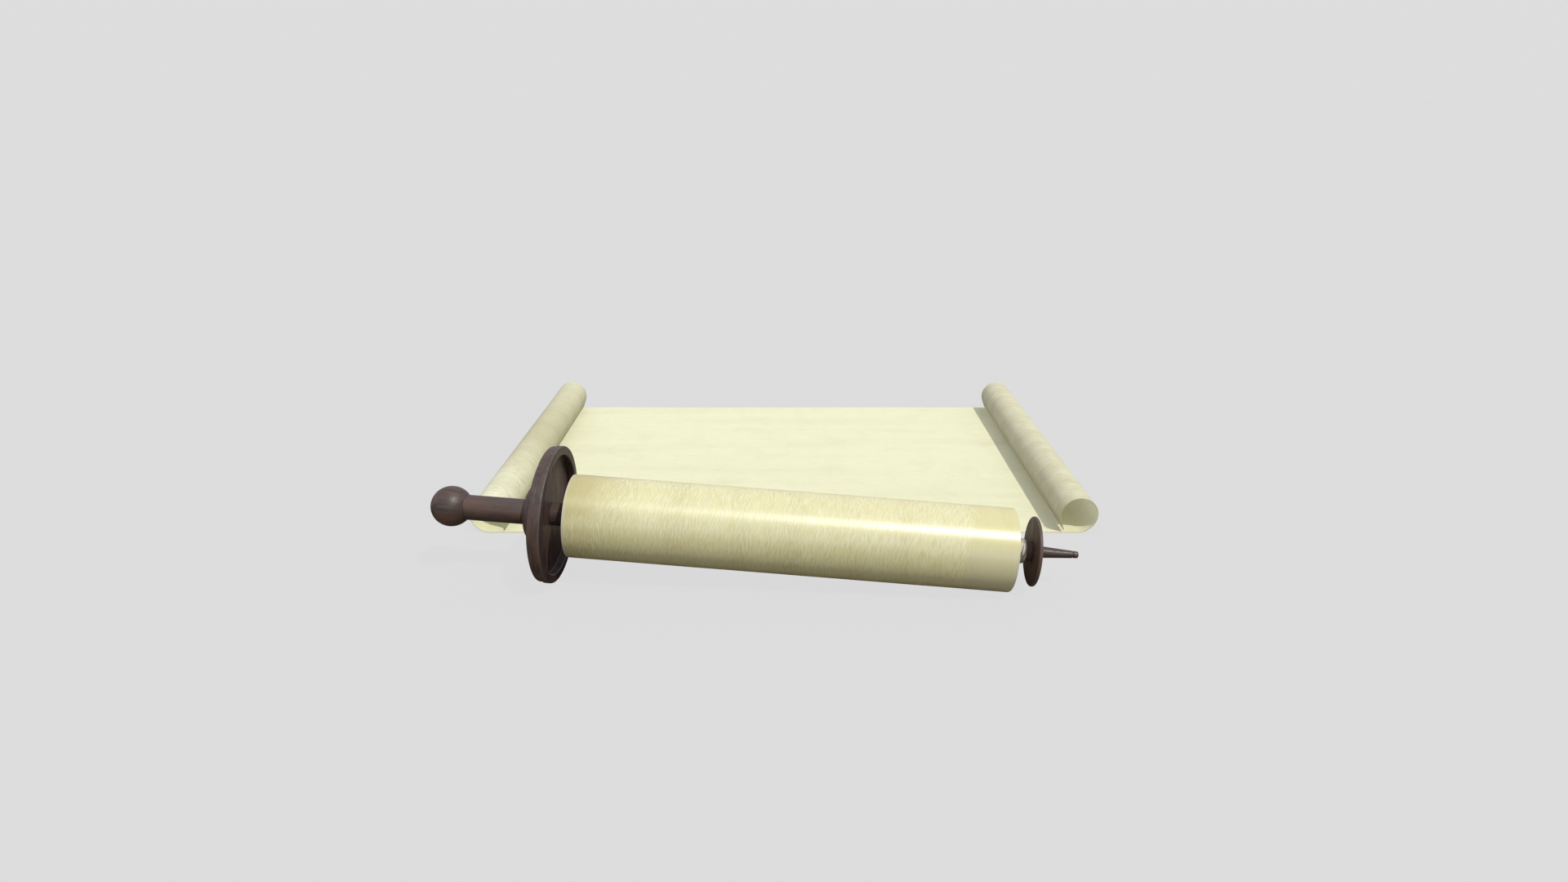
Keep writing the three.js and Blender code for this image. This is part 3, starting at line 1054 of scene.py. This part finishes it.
def make_floor(stage):
    """A plain pale floor. What it sends back to the object is weaker than what the camera sees."""
    form = bmesh.new()
    bmesh.ops.create_grid(form, x_segments=1, y_segments=1, size=60.0)
    mesh = bpy.data.meshes.new("floor")
    form.to_mesh(mesh)
    form.free()
    floor = bpy.data.objects.new("floor", mesh)
    bpy.context.scene.collection.objects.link(floor)
    material, tree, shader = new_finish("pale floor", 1.0, **{"Specular IOR Level": 0.0})
    seen = node(tree, "LightPath").outputs["Is Camera Ray"]
    daylight = stage.sun_power * math.sin(stage.sun_rise) / math.pi + stage.sky
    lit = [c * stage.shadow / daylight for c in stage.backdrop]
    even = [c * (1 - stage.shadow) for c in stage.backdrop]
    tree.links.new(blend(tree, seen, stage.bounce, lit), shader.inputs["Base Color"])
    tree.links.new(blend(tree, seen, BLACK, even), shader.inputs["Emission Color"])
    shader.inputs["Emission Strength"].default_value = 1.0
    mesh.materials.append(material)


def make_sky(stage):
    """Even light from all round, and the backdrop's colour behind the floor."""
    world = bpy.data.worlds.new("even light")
    bpy.context.scene.world = world
    world.use_nodes = True
    tree = world.node_tree
    light = tree.nodes["Background"]
    light.inputs["Color"].default_value = (*stage.sky_tint, 1.0)
    light.inputs["Strength"].default_value = stage.sky
    shown = node(tree, "Background", {"Color": (*stage.backdrop, 1.0), "Strength": 1.0})
    seen = node(tree, "LightPath").outputs["Is Camera Ray"]
    both = node(tree, "MixShader", {0: seen, 1: light.outputs[0], 2: shown.outputs[0]})
    tree.links.new(both.outputs[0], tree.nodes["World Output"].inputs["Surface"])


def make_sun(stage):
    """One soft key light, from the front right and above."""
    light = bpy.data.lights.new("key light", "SUN")
    light.energy = stage.sun_power
    light.color = stage.sun_tint
    light.angle = stage.sun_width
    sun = bpy.data.objects.new("key light", light)
    across = math.cos(stage.sun_rise)
    towards = Vector(
        (across * math.sin(stage.sun_turn), -across * math.cos(stage.sun_turn), math.sin(stage.sun_rise))
    )
    sun.rotation_euler = towards.to_track_quat("Z", "Y").to_euler()
    bpy.context.scene.collection.objects.link(sun)


def make_camera(stage):
    """The photo's view: level, square to the sheet and looking down."""
    low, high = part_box("parchment_sheet")
    lens = bpy.data.cameras.new("camera")
    lens.sensor_width = 36.0
    lens.lens = stage.lens
    camera = bpy.data.objects.new("camera", lens)
    camera.location = ((low.x + high.x) / 2, low.y - stage.back, stage.height)
    camera.rotation_euler = (math.radians(90) - stage.pitch, 0.0, 0.0)
    bpy.context.scene.collection.objects.link(camera)
    bpy.context.scene.camera = camera


# Operators


class SCROLL_OT_sheet(bpy.types.Operator):
    """Lay out the opened parchment"""

    bl_idname = "scroll.sheet"
    bl_label = "Opened parchment"

    def execute(self, context):
        make_sheet(context.scene.scroll_skin)
        return {"FINISHED"}


class SCROLL_OT_winding(bpy.types.Operator):
    """Wind the parchment on the roller"""

    bl_idname = "scroll.winding"
    bl_label = "Wound parchment"

    def execute(self, context):
        make_winding(context.scene.scroll_skin, context.scene.scroll_turning)
        return {"FINISHED"}


class SCROLL_OT_rod(bpy.types.Operator):
    """Turn the rod and its spindle"""

    bl_idname = "scroll.rod"
    bl_label = "Rod and spindle"

    def execute(self, context):
        make_rod(context.scene.scroll_turning)
        return {"FINISHED"}


class SCROLL_OT_discs(bpy.types.Operator):
    """Turn the lipped disc and the thin disc"""

    bl_idname = "scroll.discs"
    bl_label = "Discs"

    def execute(self, context):
        make_lipped_disc(context.scene.scroll_turning)
        make_thin_disc(context.scene.scroll_turning)
        return {"FINISHED"}


class SCROLL_OT_grip(bpy.types.Operator):
    """Turn the grip and its ball"""

    bl_idname = "scroll.grip"
    bl_label = "Grip and ball"

    def execute(self, context):
        make_grip(context.scene.scroll_turning)
        return {"FINISHED"}


class SCROLL_OT_stage(bpy.types.Operator):
    """Set the floor, the light and the camera"""

    bl_idname = "scroll.stage"
    bl_label = "Stage"

    def execute(self, context):
        stage = context.scene.scroll_stage
        for make in (make_floor, make_sky, make_sun, make_camera):
            make(stage)
        context.scene.view_settings.view_transform = "Standard"
        return {"FINISHED"}


OPERATORS = (
    SCROLL_OT_sheet,
    SCROLL_OT_winding,
    SCROLL_OT_rod,
    SCROLL_OT_discs,
    SCROLL_OT_grip,
    SCROLL_OT_stage,
)
SETTINGS = {
    "scroll_skin": SCROLL_PG_skin,
    "scroll_turning": SCROLL_PG_turning,
    "scroll_stage": SCROLL_PG_stage,
}


class SCROLL_PT_panel(bpy.types.Panel):
    """The scroll's pieces and settings"""

    bl_idname = "SCROLL_PT_panel"
    bl_label = "Open scroll"
    bl_space_type = "VIEW_3D"
    bl_region_type = "UI"
    bl_category = "Scroll"

    def draw(self, context):
        for operator in OPERATORS:
            self.layout.operator(operator.bl_idname)
        for name, group in SETTINGS.items():
            box = self.layout.box()
            box.label(text=group.__doc__)
            for field in group.__annotations__:
                box.prop(getattr(context.scene, name), field)


CLASSES = (*SETTINGS.values(), *OPERATORS, SCROLL_PT_panel)


def register():
    """Registers the classes and keeps their settings on the scene."""
    for cls in CLASSES:
        bpy.utils.register_class(cls)
    for name, group in SETTINGS.items():
        setattr(bpy.types.Scene, name, PointerProperty(type=group))


def unregister():
    """Takes the settings and the classes away again."""
    for name in SETTINGS:
        delattr(bpy.types.Scene, name)
    for cls in reversed(CLASSES):
        bpy.utils.unregister_class(cls)


def main():
    """Makes every piece and the stage."""
    register()
    for operator in OPERATORS:
        step = operator.bl_idname.split(".")[1]
        getattr(bpy.ops.scroll, step)()
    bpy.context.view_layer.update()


if __name__ == "__main__":
    main()
